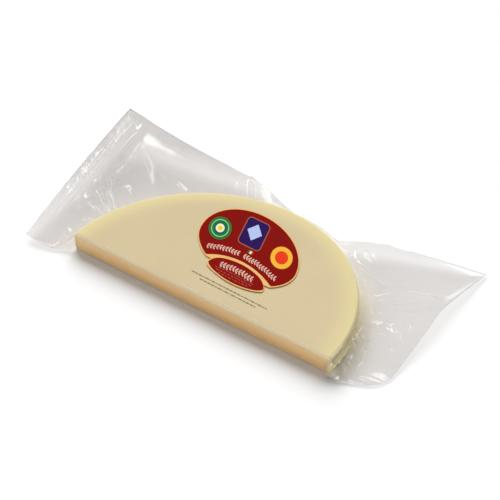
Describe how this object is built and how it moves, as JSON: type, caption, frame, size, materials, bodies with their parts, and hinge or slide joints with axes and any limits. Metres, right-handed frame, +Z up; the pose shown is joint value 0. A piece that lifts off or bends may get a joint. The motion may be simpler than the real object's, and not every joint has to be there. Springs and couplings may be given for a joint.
{
  "type": "vacuum-packed provolone slab",
  "caption": "Half-moon slab of pale firm cheese sealed in a tight clear pouch with wide film ends and a die-cut oval label.",
  "frame": {"origin": "on the table under the middle of the pack's box", "axes": "+X along the straight cut, towards the open end of the pouch; +Y towards the round rind; +Z up, out of the labelled face"},
  "size_m": [0.31, 0.159, 0.0244],
  "materials": {
    "film": "clear glossy vacuum film drawn tight over pale cheese",
    "cheese": "pale cream firm cheese, moist and smooth, yellower at the rind",
    "label": "satin coated paper printed dark red with a gold border"
  },
  "bodies": {
    "root": {"bag": "film", "label": "label"}
  },
  "joints": []
}
